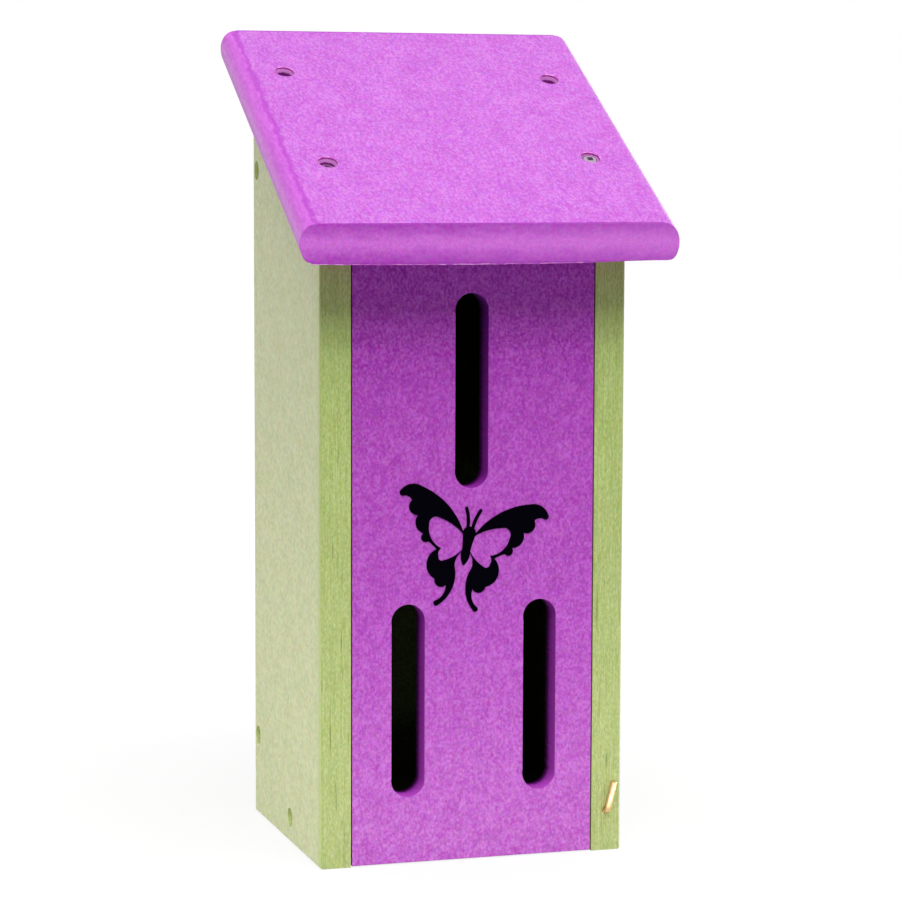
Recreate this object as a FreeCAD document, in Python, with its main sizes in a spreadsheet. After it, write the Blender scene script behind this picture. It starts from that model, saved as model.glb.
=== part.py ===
import FreeCAD, Part
import math
import os

import Sketcher

# A butterfly house of recycled-plastic boards. Two side panels stand either side of
# a back panel and a floor, and carry a sloping roof. The slotted front is a door
# that hangs on two pivot screws under the eave and is kept shut by a brass pin.
# The frame is +Z up with the front facing -Y, and the origin is the middle of the
# foot of the box that the whole house fills.

doc = FreeCAD.newDocument("butterfly_house")

# Driving sizes, in millimetres and degrees.
SIZES = (
    ("body_width", 160.0),
    ("body_depth", 140.0),
    ("front_height", 322.0),
    ("side_thickness", 16.0),
    ("side_round", 1.5),
    ("back_thickness", 16.0),
    ("floor_thickness", 16.0),
    ("floor_recess", 5.0),
    ("roof_thickness", 16.0),
    ("roof_width", 195.0),
    ("roof_overhang", 30.0),
    ("roof_pitch", 30.0),
    ("door_thickness", 16.0),
    ("door_side_gap", 0.6),
    ("door_floor_gap", 0.5),
    ("door_base_gap", 0.5),
    ("door_top_gap", 4.0),
    ("slot_width", 17.5),
    ("slot_length", 98.0),
    ("upper_slot_height", 239.0),
    ("upper_slot_shift", -1.3),
    ("lower_slot_height", 83.2),
    ("lower_slot_spacing", 69.5),
    ("lower_slot_shift", 0.5),
    ("pivot_drop", 10.0),
    ("pivot_clearance", 0.05),
    ("pivot_head_gap", 0.3),
    ("recess_diameter", 10.0),
    ("recess_depth", 6.0),
    ("screw_length", 32.0),
    ("screw_diameter", 4.2),
    ("screw_point", 5.0),
    ("screw_clearance", 0.05),
    ("pilot_spare", 2.0),
    ("head_diameter", 8.0),
    ("head_height", 2.8),
    ("head_bevel", 1.2),
    ("drive_width", 3.0),
    ("drive_depth", 1.8),
    ("roof_screw_front", 36.5),
    ("roof_screw_spacing", 87.5),
    ("roof_screw_stagger", 2.6),
    ("roof_screw_inset", 2.0),
    ("front_left_recess", 6.0),
    ("front_right_recess", 3.8),
    ("back_left_recess", 7.0),
    ("back_right_recess", 8.0),
    ("back_screw_low", 43.0),
    ("back_screw_spacing", 304.5),
    ("floor_screw_depth", 62.0),
    ("mount_hole_diameter", 5.5),
    ("mount_hole_low", 150.0),
    ("mount_hole_spacing", 150.0),
    ("latch_height", 20.5),
    ("latch_rod", 3.2),
    ("latch_depth", 28.0),
    ("latch_arm", 16.0),
    ("latch_bend", 3.2),
    ("latch_standoff", 0.8),
    ("latch_clearance", 0.05),
    ("latch_hole_spare", 2.0),
    ("latch_mouth", 4.8),
    ("latch_tilt", 13.0),
    ("latch_tip_bevel", 0.5),
    ("figure_span", 80.0),
    ("figure_height", 161.5),
    ("figure_shift", -3.5),
    ("figure_tilt", 11.0),
    ("figure_thickness", 0.4),
)

sheet = doc.addObject("Spreadsheet::Sheet", "sizes")
for row, (name, size) in enumerate(SIZES, start=1):
    sheet.set(f"A{row}", name)
    sheet.set(f"B{row}", str(size))
    sheet.setAlias(f"B{row}", name)
doc.recompute()

# Places that several boards share, worked out from the driving sizes.
HALF_WIDTH = "sizes.body_width / 2"
INSIDE_WIDTH = "(sizes.body_width - 2 * sizes.side_thickness)"
SIDE_MIDDLE = "(sizes.body_width - sizes.side_thickness) / 2"
FRONT_Y = "-(sizes.body_depth - sizes.roof_overhang) / 2"
BACK_FRONT = "(sizes.body_depth - sizes.back_thickness)"
BACK_MIDDLE = "(sizes.body_depth - sizes.back_thickness / 2)"
FLOOR_MIDDLE = "(sizes.floor_recess + sizes.floor_thickness / 2)"
DOOR_WIDTH = f"({INSIDE_WIDTH} - 2 * sizes.door_side_gap)"
DOOR_TOP = "(sizes.front_height - sizes.door_top_gap)"
PIVOT_HEIGHT = f"({DOOR_TOP} - sizes.pivot_drop)"
PIVOT_DEPTH = "sizes.door_thickness / 2"
BACK_SCREW_HIGH = "(sizes.back_screw_low + sizes.back_screw_spacing)"
SCREW_HOLE = "(sizes.screw_diameter + 2 * sizes.screw_clearance)"
PIVOT_HOLE = "(sizes.screw_diameter + 2 * sizes.pivot_clearance)"
SIDE_REST = "(sizes.side_thickness - sizes.recess_depth)"


def number(expression):
    """Value of an expression on the sheet."""
    return float(sheet.evalExpression(expression))


def new_body(label, x="0", y="0", z="0", turn_axis=None, turn="0"):
    """Empty body with its label and a placement bound to the sheet."""
    body = doc.addObject("PartDesign::Body", label)
    body.Label = label
    if turn_axis:
        body.Placement = FreeCAD.Placement(FreeCAD.Vector(), FreeCAD.Rotation(turn_axis, 1.0))
        body.setExpression("Placement.Rotation.Angle", turn)
    for letter, place in zip("xyz", (x, y, z)):
        body.setExpression(f"Placement.Base.{letter}", place)
    return body


def new_sketch(body, name, role, lift="0"):
    """Sketch on one of the body's own origin planes, lifted along that plane's normal."""
    sketch = body.newObject("Sketcher::SketchObject", name)
    plane = next(feature for feature in body.Origin.OriginFeatures if feature.Role == role)
    sketch.AttachmentSupport = [(plane, "")]
    sketch.MapMode = "FlatFace"
    sketch.setExpression("AttachmentOffset.Base.z", lift)
    return sketch


def bind(sketch, constraint, expression):
    """Add a constraint whose size comes from the sheet."""
    index = sketch.addConstraint(Sketcher.Constraint(*constraint, number(expression)))
    sketch.setExpression(f"Constraints[{index}]", expression)


def place_point(sketch, curve, end, x, y):
    bind(sketch, ("DistanceX", -1, 1, curve, end), x)
    bind(sketch, ("DistanceY", -1, 1, curve, end), y)


def add_polygon(sketch, corners):
    """Closed outline of straight lines through corners given as expressions."""
    points = [FreeCAD.Vector(number(x), number(y), 0) for x, y in corners]
    count = len(points)
    for index, point in enumerate(points):
        sketch.addGeometry(Part.LineSegment(point, points[(index + 1) % count]))
    for index in range(count):
        sketch.addConstraint(Sketcher.Constraint("Coincident", index, 2, (index + 1) % count, 1))
    for index, (x, y) in enumerate(corners):
        place_point(sketch, index, 1, x, y)


def add_circle(sketch, x, y, diameter):
    centre = FreeCAD.Vector(number(x), number(y), 0)
    circle = Part.Circle(centre, FreeCAD.Vector(0, 0, 1), number(diameter) / 2)
    curve = sketch.addGeometry(circle)
    place_point(sketch, curve, 3, x, y)
    bind(sketch, ("Diameter", curve), diameter)


def add_slot(sketch, first, second, width):
    """Round-ended outline about two end centres given as pairs of expressions."""
    start = FreeCAD.Vector(number(first[0]), number(first[1]), 0)
    stop = FreeCAD.Vector(number(second[0]), number(second[1]), 0)
    radius = number(width) / 2
    heading = math.atan2(stop.y - start.y, stop.x - start.x)
    side = FreeCAD.Vector(-math.sin(heading), math.cos(heading), 0) * radius
    quarter = math.pi / 2
    normal = FreeCAD.Vector(0, 0, 1)
    stop_arc = Part.ArcOfCircle(Part.Circle(stop, normal, radius), heading - quarter, heading + quarter)
    start_arc = Part.ArcOfCircle(Part.Circle(start, normal, radius), heading + quarter, heading + 3 * quarter)
    stop_end = sketch.addGeometry(stop_arc)
    upper = sketch.addGeometry(Part.LineSegment(stop + side, start + side))
    start_end = sketch.addGeometry(start_arc)
    lower = sketch.addGeometry(Part.LineSegment(start - side, stop - side))
    loop = (stop_end, upper, start_end, lower)
    for index, curve in enumerate(loop):
        sketch.addConstraint(Sketcher.Constraint("Tangent", curve, 2, loop[(index + 1) % len(loop)], 1))
    place_point(sketch, stop_end, 3, *second)
    place_point(sketch, start_end, 3, *first)
    sketch.addConstraint(Sketcher.Constraint("Equal", stop_end, start_end))
    bind(sketch, ("Diameter", stop_end), width)


def add_pad(body, sketch, length, backwards=False, both_ways=False):
    pad = body.newObject("PartDesign::Pad", "board")
    pad.Profile = sketch
    pad.setExpression("Length", length)
    pad.Reversed = backwards
    if both_ways:
        pad.SideType = "Symmetric"
    return pad


def add_pocket(body, sketch, name, depth=None, both_ways=False):
    """Pocket against the sketch's normal, or right through both ways."""
    pocket = body.newObject("PartDesign::Pocket", name)
    pocket.Profile = sketch
    if both_ways:
        pocket.SideType = "Symmetric"
    if depth:
        pocket.setExpression("Length", depth)
    else:
        pocket.Type = "ThroughAll"
    return pocket


def add_holes(body, sketch, name, diameter, depth=None, backwards=False, cut=None):
    """Drilled holes at the circles of a sketch, stepped or countersunk at the mouth."""
    doc.recompute()
    hole = body.newObject("PartDesign::Hole", name)
    hole.Profile = sketch
    hole.DrillPoint = "Flat"
    hole.setExpression("Diameter", diameter)
    hole.Reversed = backwards
    if depth:
        hole.DepthType = "Dimension"
        hole.setExpression("Depth", depth)
    else:
        hole.DepthType = "ThroughAll"
    if cut:
        kind, mouth, mouth_depth = cut
        hole.HoleCutType = kind
        hole.HoleCutCustomValues = True
        hole.setExpression("HoleCutDiameter", mouth)
        if kind == "Counterbore":
            hole.setExpression("HoleCutDepth", mouth_depth)
        else:
            hole.HoleCutCountersinkAngle = 90
    return hole


def dress_edges(body, feature, chosen, kind, size_name, size):
    """Fillet or chamfer the edges of a feature that a test picks out."""
    doc.recompute()
    names = [f"Edge{index}" for index, edge in enumerate(feature.Shape.Edges, start=1) if chosen(edge)]
    dressing = body.newObject(f"PartDesign::{kind}", "dressed_edges")
    dressing.Base = (feature, names)
    dressing.setExpression(size_name, size)
    return dressing


def roof_screw_place(row, hand):
    """Place of a roof screw across the house and up the slope, and the depth of its recess.

    The screws were marked out by eye and driven by feel, so no two are alike.
    """
    recess = f"sizes.{row}_{SIDE_NAMES[hand]}_recess"
    if row == "front":
        across = f"({SIDE_MIDDLE} - sizes.roof_screw_inset)"
        return across, f"(sizes.roof_screw_front + {hand} * sizes.roof_screw_stagger)", recess
    up_slope = f"(sizes.roof_screw_front + sizes.roof_screw_spacing - {hand} * sizes.roof_screw_stagger)"
    return SIDE_MIDDLE, up_slope, recess


SIDE_NAMES = {-1: "left", 1: "right"}
ROOF_SCREW_ROWS = ("front", "back")
SIDE_RECESS = ("Counterbore", "sizes.recess_diameter", "sizes.recess_depth")
LATCH_MOUTH = ("Countersink", "sizes.latch_mouth", None)
TOUCH = 1e-4


def make_side(label, hand):
    """Side board: hand is -1 for the left one and 1 for the right one."""
    outer_x = f"{hand} * {HALF_WIDTH}"
    inward = hand < 0
    body = new_body(label, x=outer_x, y=FRONT_Y)
    outline = new_sketch(body, "side_outline", "YZ_Plane")
    back_height = "sizes.front_height + sizes.body_depth * tan(sizes.roof_pitch)"
    add_polygon(outline, (
        ("0", "0"),
        ("sizes.body_depth", "0"),
        ("sizes.body_depth", back_height),
        ("0", "sizes.front_height"),
    ))
    board = add_pad(body, outline, "sizes.side_thickness", backwards=not inward)

    def on_outer_arris(edge):
        box = edge.BoundBox
        on_outer_face = box.XLength < TOUCH and abs(box.XMin) < TOUCH
        slopes = box.YLength > TOUCH and box.ZLength > TOUCH
        return on_outer_face and not slopes

    dress_edges(body, board, on_outer_arris, "Fillet", "Radius", "sizes.side_round")

    screws = new_sketch(body, "side_screw_places", "YZ_Plane")
    add_circle(screws, BACK_MIDDLE, "sizes.back_screw_low", SCREW_HOLE)
    add_circle(screws, BACK_MIDDLE, BACK_SCREW_HIGH, SCREW_HOLE)
    add_circle(screws, "sizes.floor_screw_depth", FLOOR_MIDDLE, SCREW_HOLE)
    add_holes(body, screws, "side_screw_holes", SCREW_HOLE, backwards=inward, cut=SIDE_RECESS)

    pivot = new_sketch(body, "pivot_place", "YZ_Plane")
    add_circle(pivot, PIVOT_DEPTH, PIVOT_HEIGHT, PIVOT_HOLE)
    add_holes(body, pivot, "pivot_bore", PIVOT_HOLE, backwards=inward, cut=SIDE_RECESS)

    # The pilot holes under the roof are square to the slope.
    slope = FreeCAD.Rotation(FreeCAD.Vector(1, 0, 0), 1)
    for row in ROOF_SCREW_ROWS:
        across, up_slope, recess = roof_screw_place(row, hand)
        pilot = new_sketch(body, f"{row}_roof_screw_place", "XY_Plane")
        pilot.AttachmentOffset = FreeCAD.Placement(FreeCAD.Vector(), slope)
        pilot.setExpression("AttachmentOffset.Base.z", "sizes.front_height")
        pilot.setExpression("AttachmentOffset.Rotation.Angle", "sizes.roof_pitch")
        add_circle(pilot, f"{hand} * ({across} - {HALF_WIDTH})", up_slope, SCREW_HOLE)
        depth = f"sizes.screw_length - sizes.roof_thickness + {recess} + sizes.pilot_spare"
        add_holes(body, pilot, f"{row}_roof_screw_pilot", SCREW_HOLE, depth=depth)
    return body


def make_right_side():
    """The right board also carries the latch in a hole drilled into its front edge."""
    body = make_side("right_side_panel", 1)
    place = new_sketch(body, "latch_place", "XZ_Plane")
    bore = "(sizes.latch_rod + 2 * sizes.latch_clearance)"
    add_circle(place, "-sizes.side_thickness / 2", "sizes.latch_height", bore)
    depth = "sizes.latch_depth + sizes.latch_hole_spare"
    add_holes(body, place, "latch_hole", bore, depth=depth, cut=LATCH_MOUTH)
    return body


def add_edge_pilots(body, name, half_width, places, hole, depth):
    """Blind holes into both ends of a board that stands between the sides."""
    sketch = new_sketch(body, name, "YZ_Plane", lift=half_width)
    for depth_place, height in places:
        add_circle(sketch, depth_place, height, hole)
    right = add_holes(body, sketch, f"{name}_right", hole, depth=depth)
    left = body.newObject("PartDesign::Mirrored", f"{name}_left")
    left.Originals = [right]
    plane = next(feature for feature in body.Origin.OriginFeatures if feature.Role == "YZ_Plane")
    left.MirrorPlane = (plane, [""])
    body.Tip = left


SIDE_PILOT_DEPTH = f"sizes.screw_length - {SIDE_REST} + sizes.pilot_spare"


def make_back():
    """Back board between the sides, its top bevelled to lie against the roof."""
    body = new_body("back_panel", y=FRONT_Y)
    outline = new_sketch(body, "back_outline", "YZ_Plane")
    add_polygon(outline, (
        (BACK_FRONT, "0"),
        ("sizes.body_depth", "0"),
        ("sizes.body_depth", "sizes.front_height + sizes.body_depth * tan(sizes.roof_pitch)"),
        (BACK_FRONT, f"sizes.front_height + {BACK_FRONT} * tan(sizes.roof_pitch)"),
    ))
    add_pad(body, outline, INSIDE_WIDTH, both_ways=True)
    # Two holes on the middle line take the screws that hang the house on a post or wall.
    mounts = new_sketch(body, "mount_places", "XZ_Plane", lift="-sizes.body_depth")
    add_circle(mounts, "0", "sizes.mount_hole_low", "sizes.mount_hole_diameter")
    add_circle(mounts, "0", "sizes.mount_hole_low + sizes.mount_hole_spacing", "sizes.mount_hole_diameter")
    add_holes(body, mounts, "mount_holes", "sizes.mount_hole_diameter", backwards=True)
    places = ((BACK_MIDDLE, "sizes.back_screw_low"), (BACK_MIDDLE, BACK_SCREW_HIGH))
    add_edge_pilots(body, "back_pilots", f"{INSIDE_WIDTH} / 2", places, SCREW_HOLE, SIDE_PILOT_DEPTH)
    return body


def make_floor():
    """Floor board between the sides, set up a little from the foot of the house."""
    body = new_body("floor_panel", y=FRONT_Y)
    front = "(sizes.door_thickness + sizes.door_floor_gap)"
    top = "(sizes.floor_recess + sizes.floor_thickness)"
    outline = new_sketch(body, "floor_outline", "YZ_Plane")
    add_polygon(outline, (
        (front, "sizes.floor_recess"),
        (BACK_FRONT, "sizes.floor_recess"),
        (BACK_FRONT, top),
        (front, top),
    ))
    add_pad(body, outline, INSIDE_WIDTH, both_ways=True)
    places = (("sizes.floor_screw_depth", FLOOR_MIDDLE),)
    add_edge_pilots(body, "floor_pilots", f"{INSIDE_WIDTH} / 2", places, SCREW_HOLE, SIDE_PILOT_DEPTH)
    return body


def make_door():
    """Front board with three upright entrance slots, drilled in its ends for the pivots."""
    body = new_body("front_door", y=FRONT_Y)
    outline = new_sketch(body, "door_outline", "YZ_Plane")
    add_polygon(outline, (
        ("0", "sizes.door_base_gap"),
        ("sizes.door_thickness", "sizes.door_base_gap"),
        ("sizes.door_thickness", DOOR_TOP),
        ("0", DOOR_TOP),
    ))
    add_pad(body, outline, DOOR_WIDTH, both_ways=True)
    slots = new_sketch(body, "slot_outlines", "XZ_Plane")
    reach = "(sizes.slot_length - sizes.slot_width) / 2"
    for x, height in (
        ("sizes.upper_slot_shift", "sizes.upper_slot_height"),
        ("sizes.lower_slot_shift - sizes.lower_slot_spacing / 2", "sizes.lower_slot_height"),
        ("sizes.lower_slot_shift + sizes.lower_slot_spacing / 2", "sizes.lower_slot_height"),
    ):
        add_slot(slots, (x, f"{height} - {reach}"), (x, f"{height} + {reach}"), "sizes.slot_width")
    add_pocket(body, slots, "slots", depth="sizes.door_thickness")
    depth = f"{SIDE_PILOT_DEPTH} - sizes.pivot_head_gap - sizes.door_side_gap"
    places = ((PIVOT_DEPTH, PIVOT_HEIGHT),)
    add_edge_pilots(body, "pivot_pilots", f"{DOOR_WIDTH} / 2", places, SCREW_HOLE, depth)
    return body


def make_roof():
    """Board with both long edges rounded, laid down the slope and cut plumb at its ends.

    The body's own frame lies on the roof's underside at the front of the sides,
    with Y up the slope and Z square to it.
    """
    slope = FreeCAD.Vector(1, 0, 0)
    body = new_body("roof_panel", y=FRONT_Y, z="sizes.front_height", turn_axis=slope, turn="sizes.roof_pitch")
    front = "(-sizes.roof_overhang / cos(sizes.roof_pitch))"
    back = "(sizes.body_depth / cos(sizes.roof_pitch))"
    lean = "(sizes.roof_thickness * tan(sizes.roof_pitch))"
    middle = "sizes.roof_thickness / 2"
    reach = "(sizes.roof_width - sizes.roof_thickness) / 2"
    section = new_sketch(body, "roof_section", "XZ_Plane", lift=f"-{front}")
    add_slot(section, (f"-{reach}", middle), (reach, middle), "sizes.roof_thickness")
    add_pad(body, section, f"{back} + {lean} - {front}", backwards=True)
    top = "sizes.roof_thickness"
    for name, outline in (
        ("front_cut", ((front, "0"), (f"{front} + {lean}", top), (front, top))),
        ("back_cut", ((back, "0"), (f"{back} + {lean}", "0"), (f"{back} + {lean}", top))),
    ):
        wedge = new_sketch(body, f"{name}_outline", "YZ_Plane")
        add_polygon(wedge, outline)
        add_pocket(body, wedge, name, both_ways=True)
    for row in ROOF_SCREW_ROWS:
        for hand, side in SIDE_NAMES.items():
            across, up_slope, recess = roof_screw_place(row, hand)
            screw = new_sketch(body, f"{row}_{side}_screw_place", "XY_Plane", lift=top)
            add_circle(screw, f"{hand} * {across}", up_slope, SCREW_HOLE)
            cut = ("Counterbore", "sizes.recess_diameter", recess)
            add_holes(body, screw, f"{row}_{side}_screw_hole", SCREW_HOLE, cut=cut)
    return body


def make_screw(label, x, y, z, turn_axis, turn):
    """Pan-head screw, its head seated at the body's origin and its point along -Z."""
    body = new_body(label, x=x, y=y, z=z, turn_axis=turn_axis, turn=turn)
    shank = "sizes.screw_diameter / 2"
    head = "sizes.head_diameter / 2"
    outline = new_sketch(body, "screw_outline", "XZ_Plane")
    add_polygon(outline, (
        ("0", "-sizes.screw_length"),
        (shank, "sizes.screw_point - sizes.screw_length"),
        (shank, "0"),
        (head, "0"),
        (head, "sizes.head_height"),
        ("0", "sizes.head_height"),
    ))
    turned = body.newObject("PartDesign::Revolution", "turned_blank")
    turned.Profile = outline
    turned.ReferenceAxis = (outline, ["V_Axis"])
    turned.Angle = 360
    top = number("sizes.head_height")
    width = number("sizes.head_diameter")

    def is_rim(edge):
        box = edge.BoundBox
        return abs(box.ZMin - top) < TOUCH and box.ZLength < TOUCH and abs(box.XLength - width) < TOUCH

    dress_edges(body, turned, is_rim, "Chamfer", "Size", "sizes.head_bevel")
    drive = new_sketch(body, "drive_outline", "XY_Plane", lift="sizes.head_height")
    half = "sizes.drive_width / 2"
    add_polygon(drive, (
        (f"-{half}", f"-{half}"),
        (half, f"-{half}"),
        (half, half),
        (f"-{half}", half),
    ))
    add_pocket(body, drive, "square_drive", depth="sizes.drive_depth")
    return body


def make_roof_screws():
    """Four screws down through the roof, square to the slope, into the sides' top edges."""
    screws = []
    for row in ROOF_SCREW_ROWS:
        for hand, side in SIDE_NAMES.items():
            across, up_slope, recess = roof_screw_place(row, hand)
            seat = f"(sizes.roof_thickness - {recess})"
            screws.append(make_screw(
                f"roof_screw_{row}_{side}",
                f"{hand} * {across}",
                f"{FRONT_Y} + {up_slope} * cos(sizes.roof_pitch) - {seat} * sin(sizes.roof_pitch)",
                f"sizes.front_height + {up_slope} * sin(sizes.roof_pitch) + {seat} * cos(sizes.roof_pitch)",
                FreeCAD.Vector(1, 0, 0),
                "sizes.roof_pitch",
            ))
    return screws


def make_side_screws():
    """Screws in through the sides: two a side hold the back, one the floor and one is a pivot."""
    across = FreeCAD.Vector(0, 1, 0)
    seat = f"({HALF_WIDTH} - sizes.recess_depth)"
    pivot_seat = f"({seat} + sizes.pivot_head_gap)"
    screws = []
    for kind, seat_x, depth, height in (
        ("back_screw_lower", seat, BACK_MIDDLE, "sizes.back_screw_low"),
        ("back_screw_upper", seat, BACK_MIDDLE, BACK_SCREW_HIGH),
        ("floor_screw", seat, "sizes.floor_screw_depth", FLOOR_MIDDLE),
        ("pivot_screw", pivot_seat, PIVOT_DEPTH, PIVOT_HEIGHT),
    ):
        for hand, side in SIDE_NAMES.items():
            screws.append(make_screw(
                f"{kind}_{side}",
                f"{hand} * {seat_x}",
                f"{FRONT_Y} + {depth}",
                height,
                across,
                f"{hand} * 90",
            ))
    return screws


def make_latch():
    """Brass rod bent square: its leg turns in the right side's edge, its arm crosses the door.

    The body's own frame is on the hole's axis at the front of the house, with the
    arm straight up; the placement leans the arm clear of the door.
    """
    hole = {"x": SIDE_MIDDLE, "y": FRONT_Y, "z": "sizes.latch_height"}
    body = new_body("latch_pin", **hole, turn_axis=FreeCAD.Vector(0, 1, 0), turn="sizes.latch_tilt")
    out = "(sizes.latch_standoff + sizes.latch_rod / 2)"
    turn_y = f"(sizes.latch_bend - {out})"
    route = new_sketch(body, "latch_route", "YZ_Plane")
    bend = number("sizes.latch_bend")
    centre = FreeCAD.Vector(number(turn_y), bend, 0)
    leg_end = FreeCAD.Vector(number(turn_y), 0, 0)
    arm_start = FreeCAD.Vector(number(f"-{out}"), bend, 0)
    circle = Part.Circle(centre, FreeCAD.Vector(0, 0, 1), bend)
    leg = route.addGeometry(Part.LineSegment(FreeCAD.Vector(number("sizes.latch_depth"), 0, 0), leg_end))
    corner = route.addGeometry(Part.ArcOfCircle(circle, math.pi, 1.5 * math.pi))
    arm_end = FreeCAD.Vector(arm_start.x, number("sizes.latch_arm"), 0)
    arm = route.addGeometry(Part.LineSegment(arm_start, arm_end))
    route.addConstraint(Sketcher.Constraint("Tangent", leg, 2, corner, 2))
    route.addConstraint(Sketcher.Constraint("Tangent", corner, 1, arm, 1))
    place_point(route, leg, 1, "sizes.latch_depth", "0")
    place_point(route, arm, 2, f"-{out}", "sizes.latch_arm")
    place_point(route, corner, 3, turn_y, "sizes.latch_bend")
    section = new_sketch(body, "latch_section", "XZ_Plane", lift="-sizes.latch_depth")
    add_circle(section, "0", "0", "sizes.latch_rod")
    rod = body.newObject("PartDesign::AdditivePipe", "bent_rod")
    rod.Profile = section
    rod.Spine = (route, [])
    tip_height = number("sizes.latch_arm")

    def is_arm_tip(edge):
        box = edge.BoundBox
        return box.ZLength < TOUCH and abs(box.ZMax - tip_height) < TOUCH

    dress_edges(body, rod, is_arm_tip, "Chamfer", "Size", "sizes.latch_tip_bevel")
    return body


# Half of the butterfly figure, drawn at this span. Each outline is a start point and
# then arcs, each a point passed through and an end point.
FIGURE_DRAWN_SPAN = 80.0
WING_START = (2.4, 4.4)
WING_ARCS = (
    ((13.4, 17.8), (29.0, 25.2)),
    ((37.0, 24.4), (40.0, 20.8)),
    ((39.5, 19.3), (37.6, 19.1)),
    ((35.0, 19.0), (32.8, 17.6)),
    ((33.4, 13.0), (28.3, 10.6)),
    ((28.3, 5.0), (23.7, 2.0)),
    ((23.6, -1.8), (20.6, -1.6)),
    ((18.0, -3.0), (15.5, -4.8)),
    ((19.2, -13.0), (13.6, -19.6)),
    ((10.6, -23.2), (7.2, -21.8)),
    ((7.6, -26.4), (11.5, -30.6)),
    ((11.4, -32.6), (9.2, -32.2)),
    ((4.6, -26.0), (4.6, -11.4)),
    ((3.9, -6.4), (1.6, -3.4)),
)
CELL_START = (2.2, 4.2)
CELL_ARCS = (
    ((9.0, 8.6), (17.2, 11.2)),
    ((21.0, 10.2), (21.7, 6.6)),
    ((19.0, -0.2), (13.2, -3.8)),
    ((14.2, -5.8), (13.8, -8.2)),
    ((12.8, -9.9), (10.8, -9.8)),
    ((6.2, -7.2), (2.0, -3.0)),
)
BODY_START = (0.0, 9.2)
BODY_ARCS = (
    ((2.5, 8.2), (3.3, 5.2)),
    ((2.6, 1.0), (2.2, -3.4)),
    ((1.6, -8.4), (0.0, -10.8)),
)
FEELER_START = (0.5, 8.4)
FEELER_ARCS = (
    ((1.2, 13.6), (2.9, 18.0)),
    ((4.0, 18.8), (4.5, 17.6)),
    ((2.9, 13.2), (2.1, 8.4)),
)


def make_figure():
    """Thin black butterfly fixed to the door, tilted as if in flight."""
    scale = number("sizes.figure_span") / FIGURE_DRAWN_SPAN
    thickness = number("sizes.figure_thickness")

    def leaf(start, arcs):
        place = FreeCAD.Vector(start[0], 0, start[1]) * scale
        edges = []
        for through, end in arcs:
            middle = FreeCAD.Vector(through[0], 0, through[1]) * scale
            last = FreeCAD.Vector(end[0], 0, end[1]) * scale
            edges.append(Part.Arc(place, middle, last).toShape())
            place = last
        first = FreeCAD.Vector(start[0], 0, start[1]) * scale
        edges.append(Part.LineSegment(place, first).toShape())
        return Part.Face(Part.Wire(edges)).extrude(FreeCAD.Vector(0, -thickness, 0))

    wing = leaf(WING_START, WING_ARCS).cut(leaf(CELL_START, CELL_ARCS))
    half = wing.multiFuse([leaf(BODY_START, BODY_ARCS), leaf(FEELER_START, FEELER_ARCS)])
    other_half = half.mirror(FreeCAD.Vector(), FreeCAD.Vector(1, 0, 0))
    figure = doc.addObject("Part::Feature", "butterfly_figure")
    figure.Label = "butterfly_figure"
    figure.Shape = half.fuse(other_half).removeSplitter().Solids[0]
    figure.Placement = FreeCAD.Placement(
        FreeCAD.Vector(number("sizes.figure_shift"), number(FRONT_Y), number("sizes.figure_height")),
        FreeCAD.Rotation(FreeCAD.Vector(0, 1, 0), number("sizes.figure_tilt")),
    )
    return figure


pieces = [
    make_side("left_side_panel", -1),
    make_right_side(),
    make_back(),
    make_floor(),
    make_door(),
    make_roof(),
    make_latch(),
    make_figure(),
]
pieces += make_roof_screws()
pieces += make_side_screws()
doc.recompute()

for item in doc.Objects:
    if "Invalid" in item.State or "Error" in item.State:
        raise RuntimeError(f"{item.Label} could not be built")
for piece in pieces:
    if piece.Shape.isNull() or not piece.Shape.isValid() or len(piece.Shape.Solids) != 1:
        raise RuntimeError(f"{piece.Label} is not one sound solid")

os.makedirs("parts", exist_ok=True)
for piece in pieces:
    piece.Shape.exportStep(f"parts/{piece.Label}.step")
    box = piece.Shape.BoundBox
    print(
        f"{piece.Label}: {piece.Shape.Volume:.1f} mm3,"
        f" x {box.XMin:.2f} {box.XMax:.2f}, y {box.YMin:.2f} {box.YMax:.2f}, z {box.ZMin:.2f} {box.ZMax:.2f}"
    )
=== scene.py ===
import math

import bmesh
import bpy
from mathutils import Matrix, Vector, noise


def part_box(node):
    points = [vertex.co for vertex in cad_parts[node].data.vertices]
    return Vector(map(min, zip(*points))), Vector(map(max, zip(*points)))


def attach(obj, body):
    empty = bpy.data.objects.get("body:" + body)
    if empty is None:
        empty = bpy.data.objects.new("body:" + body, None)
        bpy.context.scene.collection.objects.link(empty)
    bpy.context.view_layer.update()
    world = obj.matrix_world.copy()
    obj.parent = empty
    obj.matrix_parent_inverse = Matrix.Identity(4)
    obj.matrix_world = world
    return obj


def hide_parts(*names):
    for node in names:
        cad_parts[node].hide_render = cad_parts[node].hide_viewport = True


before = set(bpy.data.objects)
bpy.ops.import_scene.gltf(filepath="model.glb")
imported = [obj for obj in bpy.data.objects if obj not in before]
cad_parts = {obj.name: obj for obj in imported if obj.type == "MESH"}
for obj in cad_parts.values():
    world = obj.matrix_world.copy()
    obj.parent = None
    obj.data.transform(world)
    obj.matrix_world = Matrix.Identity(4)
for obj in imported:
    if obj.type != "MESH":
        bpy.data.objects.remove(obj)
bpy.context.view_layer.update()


# Side panels: two upright boards of lime-green recycled plastic that carry all the rest.
# They are sawn from sheet, so their faces keep a mottled skin and their edges are streaked,
# with the outer corners rounded over and the tops sawn to the slope of the roof.
LEFT_LOW, LEFT_HIGH = (Vector(corner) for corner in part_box("left_side_panel"))
RIGHT_LOW, RIGHT_HIGH = (Vector(corner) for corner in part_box("right_side_panel"))
FRONT_Y = LEFT_LOW.y
SIDE_ROUND = 0.0015
CORNER_STEPS = 5
ARRIS = 0.0003
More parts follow.
